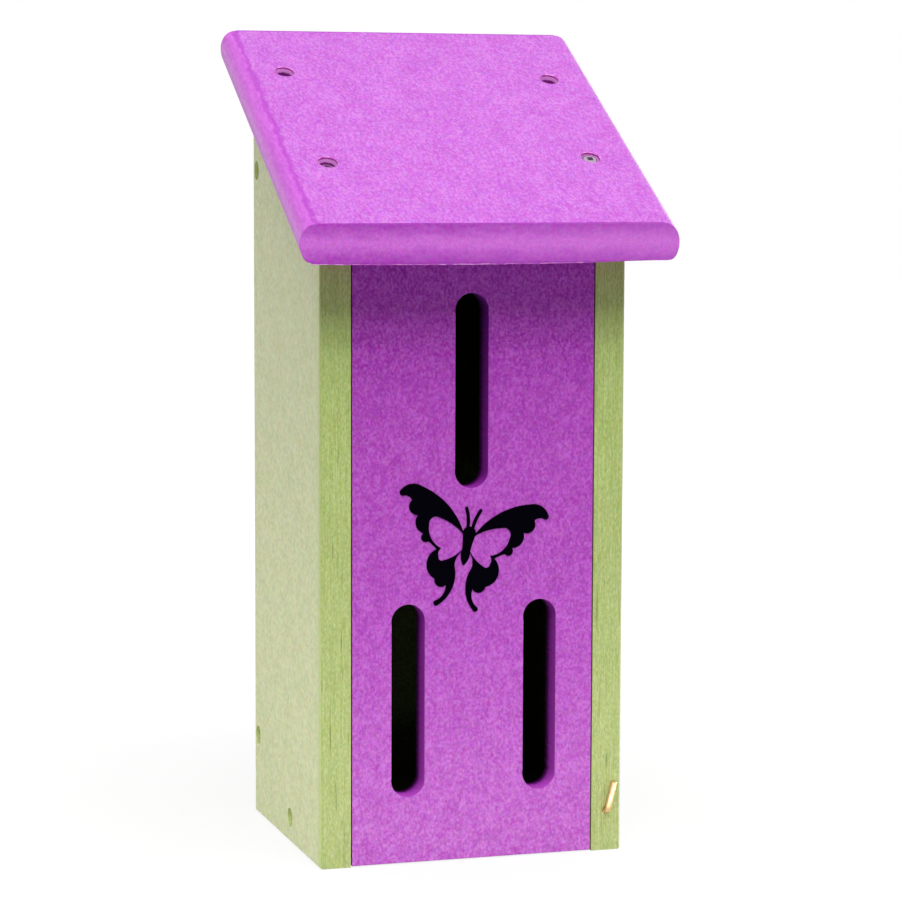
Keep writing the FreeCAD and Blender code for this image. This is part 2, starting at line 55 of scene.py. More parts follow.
ARRIS_STEPS = 3
ARRIS_ANGLE = math.radians(40)
SMOOTH_ANGLE = math.radians(35)
PLUMB = Vector((0, 0, 1))
PITCH = math.radians(30)
UP_SLOPE = Vector((0, math.cos(PITCH), math.sin(PITCH)))
OFF_SLOPE = Vector((0, -math.sin(PITCH), math.cos(PITCH)))
EAVE_HEIGHT = 0.322
EAVE = Vector((0, FRONT_Y, EAVE_HEIGHT))
SHANK_RADIUS = 0.00215
RECESS_RADIUS = 0.005
SIDE_RECESS = 0.006

# Screws through each side, by their place from front to back and their height.
SIDE_SCREWS = {
    "back_screw_lower": (0.077, 0.043),
    "back_screw_upper": (0.077, 0.3475),
    "floor_screw": (0.007, 0.013),
    "pivot_screw": (-0.047, 0.308),
}
LATCH_AXIS = Vector((0.072, FRONT_Y, 0.0205))
LATCH_HOLE_RADIUS = 0.00165
LATCH_HOLE_DEPTH = 0.030
LATCH_MOUTH_RADIUS = 0.0024
ROUND_STEPS = 48
OVERCUT = 0.002

# Tests on a piece tell faces apart by the way they face, and places by a touch or a hair.
FACING = 0.7
TOUCH = 1e-6
HAIR = ARRIS / 10


def paint(red, green, blue):
    """Colour for a shader from the 0 to 255 values that a paint chart gives."""
    shares = [value / 255 for value in (red, green, blue)]
    linear = [share / 12.92 if share <= 0.04045 else ((share + 0.055) / 1.055) ** 2.4 for share in shares]
    return (*linear, 1.0)


def settle():
    """Put the place and turn of the piece in hand into its mesh."""
    bpy.ops.object.transform_apply(location=True, rotation=True, scale=True)


def start_board(name, low, high):
    bpy.ops.mesh.primitive_cube_add(size=1, location=(low + high) / 2, scale=high - low)
    board = bpy.context.object
    board.name = name
    settle()
    return board


def pick(piece, kind, chosen):
    """Open a piece for editing with only the corners, edges or faces that a test picks out."""
    bpy.ops.object.select_all(action="DESELECT")
    piece.select_set(True)
    bpy.context.view_layer.objects.active = piece
    bpy.ops.object.mode_set(mode="EDIT")
    bpy.ops.mesh.select_mode(type=kind)
    bpy.ops.mesh.select_all(action="DESELECT")
    mesh = bmesh.from_edit_mesh(piece.data)
    mesh.normal_update()
    parts = {"VERT": mesh.verts, "EDGE": mesh.edges, "FACE": mesh.faces}
    for part in parts[kind]:
        if chosen(part):
            part.select_set(True)
    mesh.select_flush_mode()
    bmesh.update_edit_mesh(piece.data)


def close_edit():
    bpy.ops.object.mode_set(mode="OBJECT")


def draw_out(along):
    """Draw the picked faces out, as far as the vector says."""
    bpy.ops.mesh.extrude_region_move(TRANSFORM_OT_translate={"value": along})


def round_over(piece, chosen, radius, steps):
    pick(piece, "EDGE", chosen)
    bpy.ops.mesh.bevel(offset=radius, segments=steps, profile=0.5, affect="EDGES")
    close_edit()


def saw_off(piece, point, outward):
    """Saw away what lies beyond a plane, and close the cut."""
    pick(piece, "FACE", lambda face: True)
    bpy.ops.mesh.bisect(plane_co=point, plane_no=outward, use_fill=True, clear_outer=True)
    close_edit()


def apply_modifier(piece, modifier):
    bpy.context.view_layer.objects.active = piece
    bpy.ops.object.modifier_apply(modifier=modifier.name)


def combine(piece, other, operation):
    """Join another solid to a piece, or cut it away, and clear it off the bench."""
    modifier = piece.modifiers.new("combine", "BOOLEAN")
    modifier.operation = operation
    modifier.solver = "EXACT"
    modifier.object = other
    apply_modifier(piece, modifier)
    bpy.data.objects.remove(other)


def drill(piece, mouth, inward, mouth_radius, end_radius, depth):
    """Drill a straight or tapered hole from its mouth."""
    bpy.ops.mesh.primitive_cone_add(
        vertices=ROUND_STEPS,
        radius1=mouth_radius,
        radius2=end_radius,
        depth=depth + OVERCUT,
        location=mouth + inward * (depth - OVERCUT) / 2,
        rotation=PLUMB.rotation_difference(inward).to_euler(),
    )
    combine(piece, bpy.context.object, "DIFFERENCE")


def ease_edges(piece):
    """Take the sharpness off every arris."""
    bevel = piece.modifiers.new("eased", "BEVEL")
    bevel.width = ARRIS
    bevel.segments = ARRIS_STEPS
    bevel.limit_method = "ANGLE"
    bevel.angle_limit = ARRIS_ANGLE
    apply_modifier(piece, bevel)


def smooth(piece, angle):
    """Shade a piece smooth, apart from edges sharper than an angle."""
    bpy.ops.object.select_all(action="DESELECT")
    piece.select_set(True)
    bpy.ops.object.shade_smooth_by_angle(angle=angle)


def shade(board):
    """Shade flats flat and rounds smooth."""
    smooth(board, SMOOTH_ANGLE)
    weighted = board.modifiers.new("flats", "WEIGHTED_NORMAL")
    weighted.keep_sharp = True
    apply_modifier(board, weighted)


def lay_finish(piece, first, *others):
    """Give a piece its first finish all over, and others on the faces that their tests pick."""
    piece.data.materials.append(first)
    for number, (finish, chosen) in enumerate(others, start=1):
        piece.data.materials.append(finish)
        pick(piece, "FACE", chosen)
        piece.active_material_index = number
        bpy.ops.object.material_slot_assign()
        close_edit()


# The finishes are built from noise patterns, most of whose values lie within NOISE_SPREAD.
NOISE_SPREAD = (0.3, 0.7)
HUE_PLAY = 0.07
# Painted light on the sawn edges: darker at the foot and lighter up towards the eave.
LIME_HEIGHT_SHADE = ((0.05, (0.81, 0.78, 0.85)), (0.5, (0.85, 0.85, 0.85)), (0.9, (0.95, 1.0, 0.92)))


def open_finish(finish):
    tree = finish.node_tree
    return tree, tree.nodes["Principled BSDF"]


def start_finish(name, roughness):
    finish = bpy.data.materials.new(name)
    finish.use_nodes = True
    tree, shader = open_finish(finish)
    shader.inputs["Roughness"].default_value = roughness
    return finish, tree, shader


def feed(tree, value, socket):
    """Set a socket to a plain number or colour, or link it to the node that makes one."""
    if isinstance(value, (int, float, tuple)):
        socket.default_value = value
    else:
        tree.links.new(value, socket)


def add_place(tree, stretch=(1, 1, 1), turn=(0, 0, 0), shift=(0, 0, 0)):
    """Place on the piece, counted from a point along turned axes, for a pattern stretched along them."""
    place = tree.nodes.new("ShaderNodeTexCoord")
    mapping = tree.nodes.new("ShaderNodeMapping")
    mapping.vector_type = "TEXTURE"
    mapping.inputs["Location"].default_value = shift
    mapping.inputs["Rotation"].default_value = turn
    mapping.inputs["Scale"].default_value = stretch
    tree.links.new(place.outputs["Object"], mapping.inputs["Vector"])
    return mapping.outputs["Vector"]


def add_axis(tree, place, axis):
    split = tree.nodes.new("ShaderNodeSeparateXYZ")
    tree.links.new(place, split.inputs["Vector"])
    return split.outputs[axis]


def add_noise(tree, place, scale, detail=2.0, distortion=0.0, output="Fac"):
    node = tree.nodes.new("ShaderNodeTexNoise")
    node.inputs["Scale"].default_value = scale
    node.inputs["Detail"].default_value = detail
    node.inputs["Distortion"].default_value = distortion
    tree.links.new(place, node.inputs["Vector"])
    return node.outputs[output]


def add_math(tree, operation, first, second=0):
    node = tree.nodes.new("ShaderNodeMath")
    node.operation = operation
    feed(tree, first, node.inputs[0])
    feed(tree, second, node.inputs[1])
    return node.outputs["Value"]


def add_blend(tree, first, second, share):
    """Two patterns as one, with the share of the second."""
    rest = add_math(tree, "MULTIPLY", first, 1 - share)
    return add_math(tree, "ADD", rest, add_math(tree, "MULTIPLY", second, share))


def add_ramp(tree, value, stops):
    """Colours along a value, as (position, colour) pairs."""
    ramp = tree.nodes.new("ShaderNodeValToRGB")
    band = ramp.color_ramp
    while len(band.elements) < len(stops):
        band.elements.new(1.0)
    for element, (position, colour) in zip(band.elements, stops):
        element.position = position
        element.color = colour
    tree.links.new(value, ramp.inputs["Fac"])
    return ramp.outputs["Color"]


def add_range(tree, value, span, new_span):
    """Carry a value over from one span to another, held at its ends."""
    node = tree.nodes.new("ShaderNodeMapRange")
    for name, number in zip(("From Min", "From Max", "To Min", "To Max"), (*span, *new_span)):
        node.inputs[name].default_value = number
    tree.links.new(value, node.inputs["Value"])
    return node.outputs["Result"]


def add_sway(tree, value, pattern, reach):
    """A value that a noise pattern sways to both sides."""
    return add_math(tree, "ADD", value, add_range(tree, pattern, NOISE_SPREAD, (-reach, reach)))


def colour_by(tree, shader, value, stops):
    tree.links.new(add_ramp(tree, value, stops), shader.inputs["Base Color"])


def roughen_by(tree, shader, pattern, low, high):
    tree.links.new(add_range(tree, pattern, NOISE_SPREAD, (low, high)), shader.inputs["Roughness"])


def lay_over(tree, shader, factor, colour, blend="MIX"):
    """Lay a further colour over the one that the shader has so far."""
    node = tree.nodes.new("ShaderNodeMix")
    node.data_type = "RGBA"
    node.blend_type = blend
    under, over = [socket for socket in node.inputs if socket.type == "RGBA"]
    base = shader.inputs["Base Color"]
    tree.links.new(base.links[0].from_socket, under)
    feed(tree, colour, over)
    feed(tree, factor, node.inputs["Factor"])
    tree.links.new(next(socket for socket in node.outputs if socket.type == "RGBA"), base)


def add_relief(tree, shader, height, depth, strength):
    """Raise and sink the surface by a pattern, on top of any relief it has already."""
    bump = tree.nodes.new("ShaderNodeBump")
    bump.inputs["Distance"].default_value = depth
    bump.inputs["Strength"].default_value = strength
    normal = shader.inputs["Normal"]
    if normal.is_linked:
        tree.links.new(normal.links[0].from_socket, bump.inputs["Normal"])
    tree.links.new(height, bump.inputs["Height"])
    tree.links.new(bump.outputs["Normal"], normal)


def add_flecks(tree, place):
    return add_noise(tree, place, scale=900, detail=2.5)


def mottled_skin(name, tones, stretch, turn=(0, 0, 0), hue_play=HUE_PLAY):
    """Pressed sheet face: fine flecks of uneven hue and faint clouds, with a shallow pebbled relief."""
    finish, tree, shader = start_finish(name, roughness=0.5)
    place = add_place(tree, stretch, turn)
    flecks = add_flecks(tree, place)
    clouds = add_noise(tree, place, scale=130, detail=3.0)
    hues = add_noise(tree, place, scale=380, detail=1.5, output="Color")
    pores = add_noise(tree, place, scale=1900, detail=1.0)
    mottle = add_blend(tree, flecks, clouds, share=0.25)
    colour_by(tree, shader, mottle, tuple(zip((0.36, 0.5, 0.64), tones)))
    lay_over(tree, shader, hue_play, hues, "LINEAR_LIGHT")
    roughen_by(tree, shader, pores, 0.46, 0.62)
    add_relief(tree, shader, flecks, depth=0.0003, strength=0.35)
    add_relief(tree, shader, pores, depth=0.0001, strength=0.2)
    return finish


def shade_by_height(tree, shader, tints):
    """Multiply the colour by painted light and shade that change with height up the house, as (share of
    the eave's height, tint) pairs.
    """
    height = add_axis(tree, add_place(tree), "Z")
    share = add_range(tree, height, (0, EAVE.z), (0, 1))
    stops = [(place, (*tint, 1)) for place, tint in tints]
    lay_over(tree, shader, 1.0, add_ramp(tree, share, stops), "MULTIPLY")


def streaked_edge(name, tones, crack, turn=(0, 0, 0)):
    """Sawn edge of a board: short streaks of uneven hue, and a few open cracks along its length."""
    finish, tree, shader = start_finish(name, roughness=0.6)

    def add_grain(length, **settings):
        return add_noise(tree, add_place(tree, (1, 1, length), turn), **settings)

    streaks = add_grain(3, scale=1900, detail=2.0)
    bands = add_grain(36, scale=1500, detail=2.0)
    hues = add_grain(4, scale=900, detail=1.5, output="Color")
    cracks = add_grain(28, scale=1000, detail=1.0, distortion=0.5)
    patches = add_grain(2, scale=110, detail=2.0)
    grain = add_blend(tree, streaks, bands, share=0.35)
    colour_by(tree, shader, grain, tuple(zip((0.34, 0.5, 0.64), tones)))
    lay_over(tree, shader, HUE_PLAY, hues, "LINEAR_LIGHT")
    opened = add_math(
        tree,
        "MULTIPLY",
        add_range(tree, cracks, (0.64, 0.74), (0, 0.65)),
        add_range(tree, patches, (0.38, 0.48), (0, 1)),
    )
    lay_over(tree, shader, opened, crack)
    # Painted light by height: the edge is darker at the foot and lighter up towards the eave.
    shade_by_height(tree, shader, LIME_HEIGHT_SHADE)
    roughen_by(tree, shader, streaks, 0.55, 0.72)
    add_relief(tree, shader, streaks, depth=0.0002, strength=0.4)
    add_relief(tree, shader, add_math(tree, "SUBTRACT", 1, opened), depth=0.0003, strength=0.4)
    return finish


LIME_EDGE_TONES = (paint(174, 195, 104), paint(197, 215, 132), paint(216, 231, 155))
LIME_CRACK = paint(112, 132, 54)
LIME_FRONT_TONE = paint(190, 208, 124)
FRONT_BAND_REACH = 0.008
FRONT_BAND_SHARE = 0.75
FRONT_BAND_OFF_RIGHT = (0.07, 0.05)
STREAK_WRAP = {-1: FACING, 1: 0.4}
INSIDE_HUE_PLAY = 0.008
INSIDE_SHINE = 0.08


def add_front_band(tree):
    """Share of a band along a board's front edge, full at the edge and gone a little way behind it."""
    from_front = add_axis(tree, add_place(tree, shift=(0, FRONT_Y, 0)), "Y")
    return add_range(tree, from_front, (FRONT_BAND_REACH, 0), (0, FRONT_BAND_SHARE))


lime_skin = mottled_skin(
    "lime_board_skin", (paint(197, 204, 147), paint(209, 215, 162), paint(220, 224, 178)), (1.3, 2.6, 1.9)
)
tree, shader = open_finish(lime_skin)
# A greener band is laid along the front edge of the outer skin, left off the right side.
off_right = add_range(tree, add_axis(tree, add_place(tree), "X"), FRONT_BAND_OFF_RIGHT, (0, 1))
lay_over(tree, shader, add_math(tree, "MULTIPLY", off_right, add_front_band(tree)), LIME_FRONT_TONE)

# Inner faces carry painted shade: dull tones much darker than the outer ones, but for a strip along the
# front edge painted in the outer green, where daylight reaches.
lime_inside_shade = mottled_skin(
    "lime_board_inside_painted_shade",
    (paint(44, 53, 20), paint(52, 62, 25), paint(61, 72, 31)),
    (1, 1.3, 1.3),
    hue_play=INSIDE_HUE_PLAY,
)
tree, shader = open_finish(lime_inside_shade)
shader.inputs["Specular IOR Level"].default_value = INSIDE_SHINE
lay_over(tree, shader, add_front_band(tree), LIME_FRONT_TONE)

lime_edge = streaked_edge("lime_sawn_edge", LIME_EDGE_TONES, LIME_CRACK)
# The walls of the sides' screw recesses carry painted light: paler than the boards, to lift them out of
# their shade.
lime_drilled_lightened = mottled_skin(
    "lime_drilled_wall_painted_light", (paint(212, 230, 148), paint(224, 240, 162), paint(234, 247, 178)), (0.6, 1, 1)
)


def is_outer_corner(outer_x):
    """Test for the arrises of a side's outer face, except the sloping one under the roof."""

    def chosen(edge):
        ends = [vertex.co for vertex in edge.verts]
        on_outer_face = all(abs(end.x - outer_x) < TOUCH for end in ends)
        slopes = abs(ends[0].y - ends[1].y) > TOUCH and abs(ends[0].z - ends[1].z) > TOUCH
        return on_outer_face and not slopes

    return chosen


def is_recess(face):
    middle = face.calc_center_median()
    depth = RIGHT_HIGH.x - abs(middle.x)
    if depth < HAIR or depth > SIDE_RECESS + ARRIS:
        return False
    aside = min(math.hypot(middle.y - y, middle.z - z) for y, z in SIDE_SCREWS.values())
    return aside < RECESS_RADIUS + ARRIS


def make_side(name, low, high, hand):
    """One side, with the hand at -1 for the left and 1 for the right, which also takes the latch."""
    outer_x = low.x if hand < 0 else high.x
    side = start_board(name, low, high)
    saw_off(side, EAVE, OFF_SLOPE)
    round_over(side, is_outer_corner(outer_x), SIDE_ROUND, CORNER_STEPS)
    inward = Vector((-hand, 0, 0))
    for y, z in SIDE_SCREWS.values():
        mouth = Vector((outer_x, y, z))
        drill(side, mouth, inward, RECESS_RADIUS, RECESS_RADIUS, SIDE_RECESS)
        drill(side, mouth, inward, SHANK_RADIUS, SHANK_RADIUS, high.x - low.x + OVERCUT)
    if hand > 0:
        into_edge = Vector((0, 1, 0))
        drill(side, LATCH_AXIS, into_edge, LATCH_HOLE_RADIUS, LATCH_HOLE_RADIUS, LATCH_HOLE_DEPTH)
        taper = LATCH_MOUTH_RADIUS - LATCH_HOLE_RADIUS
        drill(side, LATCH_AXIS, into_edge, LATCH_MOUTH_RADIUS + OVERCUT, LATCH_HOLE_RADIUS, taper)
    ease_edges(side)
    shade(side)
    lay_finish(
        side,
        lime_skin,
        (lime_edge, lambda face: -FACING < face.normal.x * hand < STREAK_WRAP[hand]),
        (lime_inside_shade, lambda face: face.normal.x * hand < -FACING),
        (lime_drilled_lightened, is_recess),
    )
    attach(side, "house")
    return side


left_side = make_side("left_side", LEFT_LOW, LEFT_HIGH, -1)
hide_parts("left_side_panel")
right_side = make_side("right_side", RIGHT_LOW, RIGHT_HIGH, 1)
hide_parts("right_side_panel")


# Back panel: a board of the same green sheet, screwed between the sides from outside.
# Its top is sawn to the roof's slope, and two holes on its middle line take the screws
# that hang the house on a post or a wall.
BACK_LOW, BACK_HIGH = (Vector(corner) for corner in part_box("back_panel"))
MOUNT_HOLE_RADIUS = 0.00275
MOUNT_HOLE_HEIGHTS = (0.150, 0.300)

back = start_board("back", BACK_LOW, BACK_HIGH)
saw_off(back, EAVE, OFF_SLOPE)
for height in MOUNT_HOLE_HEIGHTS:
    mouth = Vector((0, BACK_HIGH.y, height))
    through = BACK_HIGH.y - BACK_LOW.y + OVERCUT
    drill(back, mouth, Vector((0, -1, 0)), MOUNT_HOLE_RADIUS, MOUNT_HOLE_RADIUS, through)
ease_edges(back)
shade(back)
lay_finish(
    back,
    lime_skin,
    (lime_edge, lambda face: abs(face.normal.y) < FACING),
    (lime_inside_shade, lambda face: face.normal.y < -FACING),
)
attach(back, "house")
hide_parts("back_panel")


# Floor panel: a green board between the sides, set up a little from the foot of the house.
# One screw through each side holds it, and its front edge stops just behind the door.
FLOOR_LOW, FLOOR_HIGH = (Vector(corner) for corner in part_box("floor_panel"))

lime_level_edge = streaked_edge("lime_level_edge", LIME_EDGE_TONES, LIME_CRACK, (0, math.pi / 2, 0))

floor_board = start_board("floor_board", FLOOR_LOW, FLOOR_HIGH)
ease_edges(floor_board)
shade(floor_board)
lay_finish(
    floor_board,
    lime_skin,
    (lime_level_edge, lambda face: abs(face.normal.z) < FACING),
    (lime_inside_shade, lambda face: face.normal.z > FACING),
)
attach(floor_board, "house")
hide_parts("floor_panel")


# Roof: one thick purple board whose long edges come rounded from the mill.
# It lies down the slope with both ends sawn plumb, flush with the back and over the door
# as an eave, and the saw has laid bare the paler core and left a burr round each end.
ROOF_THICKNESS = 0.016
ROOF_HALF_WIDTH = 0.0975
ROOF_FRONT_Y = -0.085
ROOF_BACK_Y = 0.085
ROOF_SPARE = 0.01
ROUND_SHORT = 0.00005
EDGE_STEPS = 14
LOWER_EDGE = 0.45 * ROOF_THICKNESS
LOWER_ROUND = 0.65
EDGE_ROUND = ROOF_THICKNESS / 2 - ROUND_SHORT
FLAT_HALF_WIDTH = ROOF_HALF_WIDTH - EDGE_ROUND
ROOF_TURN = (PITCH, 0, 0)
ROOF_TOP = EAVE + OFF_SLOPE * ROOF_THICKNESS
ROOF_FRONT_FOOT = EAVE.z + (ROOF_FRONT_Y - EAVE.y) * math.tan(PITCH)

# Screws through the roof, by their place across it and up the slope, and the depth of their recess.
ROOF_SCREWS = {
    "roof_screw_front_left": (-0.070, 0.0339, 0.0060),
    "roof_screw_front_right": (0.070, 0.0391, 0.0038),
    "roof_screw_back_left": (-0.072, 0.1266, 0.0070),
    "roof_screw_back_right": (0.072, 0.1214, 0.0080),
}
RIM_WIDTH = 0.0004
LEDGE_TOP = 0.0013
LEDGE_FOOT = 0.0028
LEDGE_RADIUS = 0.0043
CREASE = paint(178, 44, 196)
CREASE_SHARE = 0.65
CREASE_INSIDE = (FLAT_HALF_WIDTH - 0.0018, FLAT_HALF_WIDTH - 0.0004)
CREASE_OUTSIDE = (FLAT_HALF_WIDTH + 0.0006, FLAT_HALF_WIDTH + 0.0022)
SKIN_WRAP = 0.007
WAVER = 0.0012


def add_reach(tree, span, shares):
    """Share by how far left across the roof a point lies, between two lines that waver."""
    across = add_math(tree, "MULTIPLY", add_axis(tree, add_place(tree), "X"), -1)
    waver = add_noise(tree, add_place(tree, (1, 2, 1), ROOF_TURN), scale=420, detail=3.0)
    return add_range(tree, add_sway(tree, across, waver, WAVER), span, shares)


roof_skin = mottled_skin(
    "purple_roof_skin",
    (paint(193, 89, 207), paint(206, 111, 220), paint(218, 134, 230)),
    (1.15, 1.85, 1.15),
    ROOF_TURN,
)
tree, shader = open_finish(roof_skin)
lay_over(tree, shader, add_reach(tree, CREASE_INSIDE, (0, CREASE_SHARE)), CREASE)

milled_edge, tree, shader = start_finish("purple_milled_edge", roughness=0.5)
runs = add_noise(tree, add_place(tree, (1, 18, 1), ROOF_TURN), scale=420, detail=3.0)
specks = add_noise(tree, add_place(tree, (1, 2, 1), ROOF_TURN), scale=600, detail=2.5)
milling = add_blend(tree, runs, specks, share=0.55)
colour_by(tree, shader, milling, ((0.35, paint(202, 88, 213)), (0.65, paint(224, 120, 233))))
lay_over(tree, shader, add_reach(tree, CREASE_OUTSIDE, (CREASE_SHARE, 0)), CREASE)
roughen_by(tree, shader, runs, 0.44, 0.56)
add_relief(tree, shader, runs, depth=0.0001, strength=0.25)

# The wall of a screw's recess carries painted light and shade by depth: dark under the rim, pale on the
# ledge where it catches the light, dark below.
RECESS_LIGHT_AND_SHADE = (
    (0.0000, paint(206, 52, 190)),
    (0.0012, paint(178, 26, 160)),
    (0.0014, paint(252, 180, 255)),
    (0.0028, paint(250, 172, 255)),
    (0.0031, paint(164, 46, 160)),
    (0.0060, paint(146, 44, 144)),
)
RING_WOBBLE = 0.0003
GLOW_SHARE = 0.8
GLOW_RADII = (1.0, 0.6, 1.0)
GLOW_DEPTH = 0.004
drilled_wall_shading, tree, shader = start_finish("purple_drilled_wall_painted_shade", roughness=0.5)
height = add_axis(tree, add_place(tree, turn=ROOF_TURN, shift=ROOF_TOP), "Z")
swarf = add_noise(tree, add_place(tree, (1, 1, 0.4), ROOF_TURN), scale=900, detail=2.0)
depth = add_math(tree, "SUBTRACT", add_range(tree, swarf, NOISE_SPREAD, (-RING_WOBBLE, RING_WOBBLE)), height)
deepest = RECESS_LIGHT_AND_SHADE[-1][0]
tones = [(place / deepest, tone) for place, tone in RECESS_LIGHT_AND_SHADE]
colour_by(tree, shader, add_range(tree, depth, (0, deepest), (0, 1)), tones)
shader.inputs["Subsurface Weight"].default_value = GLOW_SHARE
shader.inputs["Subsurface Radius"].default_value = GLOW_RADII
shader.inputs["Subsurface Scale"].default_value = GLOW_DEPTH
roughen_by(tree, shader, swarf, 0.42, 0.6)
add_relief(tree, shader, swarf, depth=0.0002, strength=0.4)

# The burr's pale pink is partly its own paler, thinner plastic and partly a painted highlight where its
# edges catch the light.
burr, tree, shader = start_finish("purple_saw_burr", roughness=0.5)
tatters = add_noise(tree, add_place(tree, (3, 1, 1)), scale=700, detail=3.0)
colour_by(tree, shader, tatters, ((0.40, paint(205, 92, 212)), (0.60, paint(255, 176, 250))))
roughen_by(tree, shader, tatters, 0.4, 0.6)
add_relief(tree, shader, tatters, depth=0.0002, strength=0.5)

SAW_LEAN = -0.35
PALE_CORE = paint(236, 142, 247)
PALE_SPAN = (-0.06, 0.09)
PALE_SHARE = 0.2


def sawn_core(name, skin, core, thickness, turn, face_point):
    """Sawn end of a purple board: a dense dark skin each side of a paler core, with saw marks."""
    finish, tree, shader = start_finish(name, roughness=0.6)
    waver = add_noise(tree, add_place(tree, (1, 1, 0.33)), scale=70, detail=3.0)
    height = add_axis(tree, add_place(tree, turn=turn, shift=face_point), "Z")
    depth = add_sway(tree, height, waver, WAVER)
    layers = ((0.0, skin), (0.04, skin), (0.44, core), (0.56, core), (0.95, skin), (1.0, skin))
    colour_by(tree, shader, add_range(tree, depth, (0, thickness), (0, 1)), layers)
    grit = add_noise(tree, add_place(tree), scale=1100, detail=2.0)
    shades = add_ramp(tree, grit, ((0.3, (0.80, 0.74, 0.82, 1)), (0.7, (1.0, 1.0, 1.0, 1))))
    lay_over(tree, shader, 1.0, shades, "MULTIPLY")
    hues = add_noise(tree, add_place(tree), scale=420, detail=1.5, output="Color")
    lay_over(tree, shader, HUE_PLAY, hues, "LINEAR_LIGHT")
    roughen_by(tree, shader, grit, 0.52, 0.7)
    marks = add_noise(tree, add_place(tree, (12, 1, 1), (0, SAW_LEAN, 0)), scale=1500, detail=2.0)
    add_relief(tree, shader, marks, depth=0.0002, strength=0.35)
    add_relief(tree, shader, grit, depth=0.0001, strength=0.3)
    return finish


roof_end = sawn_core(
    "purple_roof_sawn_end", paint(198, 78, 213), paint(239, 128, 248), ROOF_THICKNESS, ROOF_TURN, EAVE
)
tree, shader = open_finish(roof_end)
to_right = add_range(tree, add_axis(tree, add_place(tree), "X"), PALE_SPAN, (0, PALE_SHARE))
lay_over(tree, shader, to_right, PALE_CORE)

front_reach = (ROOF_FRONT_Y - EAVE.y) / math.cos(PITCH) - ROOF_SPARE
back_reach = (ROOF_BACK_Y - EAVE.y) / math.cos(PITCH) + ROOF_THICKNESS * math.tan(PITCH) + ROOF_SPARE
roof = start_board(
    "roof",
    Vector((-ROOF_HALF_WIDTH, front_reach, 0)),
    Vector((ROOF_HALF_WIDTH, back_reach, ROOF_THICKNESS)),
)
round_over(
    roof,
    lambda edge: abs(edge.verts[0].co.y - edge.verts[1].co.y) > TOUCH,
    EDGE_ROUND,
    EDGE_STEPS,
)

# The lower half of each rounded edge is tighter than the upper one.
for hand in (-1, 1):
    pick(roof, "VERT", lambda vertex: vertex.co.x * hand > 0 and vertex.co.z < LOWER_EDGE)
    bpy.ops.transform.resize(value=(LOWER_ROUND, 1, 1), center_override=(hand * ROOF_HALF_WIDTH, 0, 0))
    close_edit()
roof.location = EAVE
roof.rotation_euler = ROOF_TURN
settle()
saw_off(roof, Vector((0, ROOF_FRONT_Y, 0)), Vector((0, -1, 0)))
saw_off(roof, Vector((0, ROOF_BACK_Y, 0)), Vector((0, 1, 0)))
ease_edges(roof)

# The burr stands out as a lip along each end's edges. Under the front end it hangs in a ragged bow,
# deepest a little left of the middle, with a thin strip below that fades out towards the right.
# Each lip is given by its end, -1 in front and 1 behind, and by how far it stands up or hangs.
LIPS = ((1, 0.0003), (1, -0.0003), (-1, 0.0004), (-1, -0.0001))
LIP_TAPER = 0.99
BURR_WIDTH = 0.0005
BURR_HEIGHT = 0.0001
BURR_FACING = 0.3
END_ZONE = 0.001
END_AREA = 0.001
END_SKIN = 0.0012
SQUARE_ON = 0.9
CUT_FACING = 0.6
HANG = 0.0010
HANG_MIDDLE = -0.015
HANG_REACH = 0.098
TATTER_CUTS = 48
TATTER_RAG = 0.0003
TATTER_PACE = 150
TATTER_STRIP = 0.0004
TATTER_END = 0.075
TATTER_FADE = 0.030
TATTER_LEAST = 0.1


def from_roof_end(face):
    middle = face.calc_center_median()
    return min(middle.y - ROOF_FRONT_Y, ROOF_BACK_Y - middle.y)


def is_lip_row(face, way, lift):
    """Eased rows along an end's upper or lower edge, from which the saw has drawn its burr."""
    places = [vertex.co.x for vertex in face.verts]
    long = max(places) - min(places) > FLAT_HALF_WIDTH
    at_end = from_roof_end(face) < END_ZONE and face.calc_center_median().y * way > 0
    return long and at_end and face.normal.z * math.copysign(1, lift) > FACING


def hang_at(across):
    """How far the front end's burr hangs at a place across the roof."""
    bow = 1 - ((across - HANG_MIDDLE) / HANG_REACH) ** 2
    return max(0, bow) * (HANG + TATTER_RAG * noise.noise((across * TATTER_PACE, 0, 0)))


def is_under_front(vertex):
    """On the lip that hangs from the front end's lower edge."""
    return (vertex.co - EAVE).dot(OFF_SLOPE) < -HAIR and vertex.co.y < ROOF_FRONT_Y + END_ZONE


def is_hanging_edge(edge):
    long = abs(edge.verts[0].co.x - edge.verts[1].co.x) > FLAT_HALF_WIDTH
    return long and all(is_under_front(vertex) for vertex in edge.verts)


def is_hanging_face(face):
    return face.normal.z < -FACING and all(is_under_front(vertex) for vertex in face.verts)


def bore_recess(piece, mouth, inward, depth):
    """Bore a screw's recess with a stepped bit, which leaves a sloping ledge part way down the wall."""
    bpy.ops.mesh.primitive_cylinder_add(
        vertices=ROUND_STEPS,
        radius=RECESS_RADIUS,
        depth=LEDGE_TOP + OVERCUT,
        location=(0, 0, (LEDGE_TOP - OVERCUT) / 2),
    )
    bit = bpy.context.object
    settle()
    pick(bit, "FACE", lambda face: face.normal.z > SQUARE_ON)
    draw_out((0, 0, LEDGE_FOOT - LEDGE_TOP))
    narrowing = LEDGE_RADIUS / RECESS_RADIUS
    bpy.ops.transform.resize(value=(narrowing, narrowing, 1), center_override=(0, 0, 0))
    draw_out((0, 0, depth - LEDGE_FOOT))
    close_edit()
    bit.rotation_euler = PLUMB.rotation_difference(inward).to_euler()
    bit.location = mouth
    combine(piece, bit, "DIFFERENCE")


